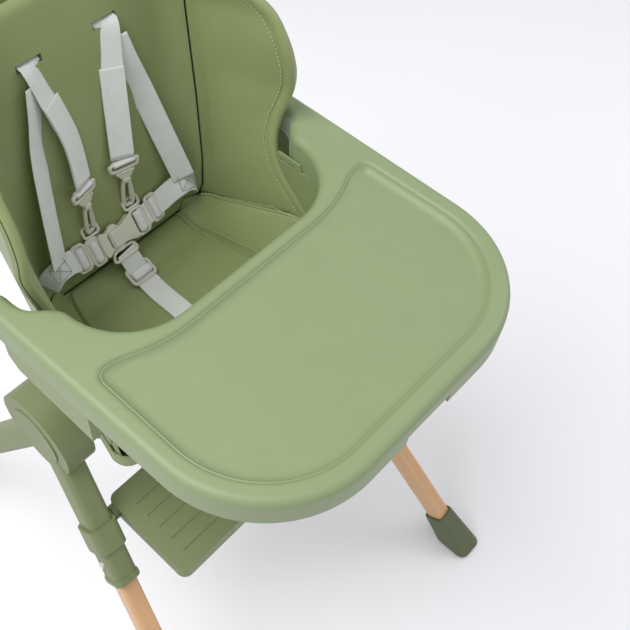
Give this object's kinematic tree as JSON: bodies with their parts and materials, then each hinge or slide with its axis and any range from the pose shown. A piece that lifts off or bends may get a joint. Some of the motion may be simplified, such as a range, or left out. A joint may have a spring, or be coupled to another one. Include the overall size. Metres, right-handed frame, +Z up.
{
  "type": "baby high chair",
  "caption": "High chair on splayed beech legs with a padded bucket seat, harness, sliding tray with a recessed top and tilting footrest.",
  "frame": {"origin": "on the floor under the middle of the chair's bounding box", "axes": "+Z up, the child faces -Y, the child's left is +X"},
  "size_m": [0.659, 0.924, 1.076],
  "materials": {
    "lining": "smooth satin",
    "webbing": "woven polyester",
    "buckle_plastic": "fine matte",
    "beech": "clear satin varnish",
    "dark_plastic": "fine matte",
    "foot_rubber": "matte",
    "steel": "plain",
    "tray_plastic": "satin",
    "shell_plastic": "satin"
  },
  "bodies": {
    "chair": {"seat_shell": "shell_plastic", "seat_cushion": "lining", "back_cushion": "lining", "wing_pad_left": "lining", "wing_pad_right": "lining", "armrest_left": "shell_plastic", "armrest_right": "shell_plastic", "armrest_panel_left": "shell_plastic", "armrest_panel_right": "shell_plastic", "tray_rail_left": "shell_plastic", "tray_rail_right": "shell_plastic", "base_frame": "shell_plastic", "base_screws": "steel", "hub_left": "shell_plastic", "hub_right": "shell_plastic", "leg_sleeve_front_left": "shell_plastic", "leg_sleeve_front_right": "shell_plastic", "leg_sleeve_rear_left": "shell_plastic", "leg_sleeve_rear_right": "shell_plastic", "leg_front_left": "beech", "leg_front_right": "beech", "leg_rear_left": "beech", "leg_rear_right": "beech", "boot_front_left": "dark_plastic", "boot_front_right": "dark_plastic", "boot_rear_left": "dark_plastic", "boot_rear_right": "dark_plastic", "foot_pad_front_left": "foot_rubber", "foot_pad_front_right": "foot_rubber", "foot_pad_rear_left": "foot_rubber", "foot_pad_rear_right": "foot_rubber", "footrest_bracket_left": "shell_plastic", "footrest_bracket_right": "shell_plastic", "footrest_pins": "steel", "shoulder_strap_left": "webbing", "shoulder_strap_right": "webbing", "side_strap_left": "webbing", "side_strap_right": "webbing", "hip_strap_left": "webbing", "hip_strap_right": "webbing", "crotch_strap": "webbing", "buckle_housing": "buckle_plastic", "buckle_tongue": "buckle_plastic", "snap_hook_left": "buckle_plastic", "snap_hook_right": "buckle_plastic", "waist_adjuster_left": "buckle_plastic", "waist_adjuster_right": "buckle_plastic", "crotch_adjuster": "buckle_plastic"},
    "tray_body": {"tray": "tray_plastic", "tray_cover": "shell_plastic"},
    "handle_body": {"tray_handle": "dark_plastic"},
    "lock_pin_left": {"tray_lock_pin_left": "steel"},
    "lock_pin_right": {"tray_lock_pin_right": "steel"},
    "footrest": {"footrest_plate": "shell_plastic"},
    "button_front_left": {"leg_button_front_left": "buckle_plastic"},
    "button_front_right": {"leg_button_front_right": "buckle_plastic"},
    "button_rear_left": {"leg_button_rear_left": "buckle_plastic"},
    "button_rear_right": {"leg_button_rear_right": "buckle_plastic"},
    "prong_upper": {"buckle_prong_upper": "buckle_plastic"},
    "prong_lower": {"buckle_prong_lower": "buckle_plastic"}
  },
  "joints": [
    {"name": "tray_slide", "type": "slide", "parent": "chair", "child": "tray_body", "axis": [0, -1, 0], "range_m": [0, 0.045]},
    {"name": "tray_handle_pull", "type": "slide", "parent": "tray_body", "child": "handle_body", "axis": [0, -1, 0], "range_m": [0, 0.012], "stiffness_N_per_m": 400, "springref_m": -0.002},
    {"name": "lock_pin_left_slide", "type": "slide", "parent": "tray_body", "child": "lock_pin_left", "axis": [-1, 0, 0], "range_m": [0, 0.008]},
    {"name": "lock_pin_right_slide", "type": "slide", "parent": "tray_body", "child": "lock_pin_right", "axis": [1, 0, 0], "range_m": [0, 0.008]},
    {"name": "footrest_tilt", "type": "hinge", "parent": "chair", "child": "footrest", "pos_m": [0, -0.09582, 0.42], "axis": [-1, 0, 0], "range_deg": [0, 70]},
    {"name": "leg_button_front_left_press", "type": "slide", "parent": "chair", "child": "button_front_left", "axis": [-0.9903, -0.0442, -0.1316], "range_m": [0, 0.003], "stiffness_N_per_m": 800, "springref_m": -0.001},
    {"name": "leg_button_front_right_press", "type": "slide", "parent": "chair", "child": "button_front_right", "axis": [0.9903, -0.0442, -0.1316], "range_m": [0, 0.003], "stiffness_N_per_m": 800, "springref_m": -0.001},
    {"name": "leg_button_rear_left_press", "type": "slide", "parent": "chair", "child": "button_rear_left", "axis": [-0.9903, 0.0442, -0.1316], "range_m": [0, 0.003], "stiffness_N_per_m": 800, "springref_m": -0.001},
    {"name": "leg_button_rear_right_press", "type": "slide", "parent": "chair", "child": "button_rear_right", "axis": [0.9903, 0.0442, -0.1316], "range_m": [0, 0.003], "stiffness_N_per_m": 800, "springref_m": -0.001},
    {"name": "prong_upper_squeeze", "type": "slide", "parent": "chair", "child": "prong_upper", "axis": [0, -0.5299, -0.848], "range_m": [0, 0.002], "stiffness_N_per_m": 600, "springref_m": -0.001},
    {"name": "prong_lower_squeeze", "type": "slide", "parent": "chair", "child": "prong_lower", "axis": [0, 0.5299, 0.848], "range_m": [0, 0.002], "stiffness_N_per_m": 600, "springref_m": -0.001}
  ],
  "couplings": [
    {"joint": "lock_pin_left_slide", "follows": "tray_handle_pull", "ratio": 0.66},
    {"joint": "lock_pin_right_slide", "follows": "tray_handle_pull", "ratio": 0.66}
  ]
}
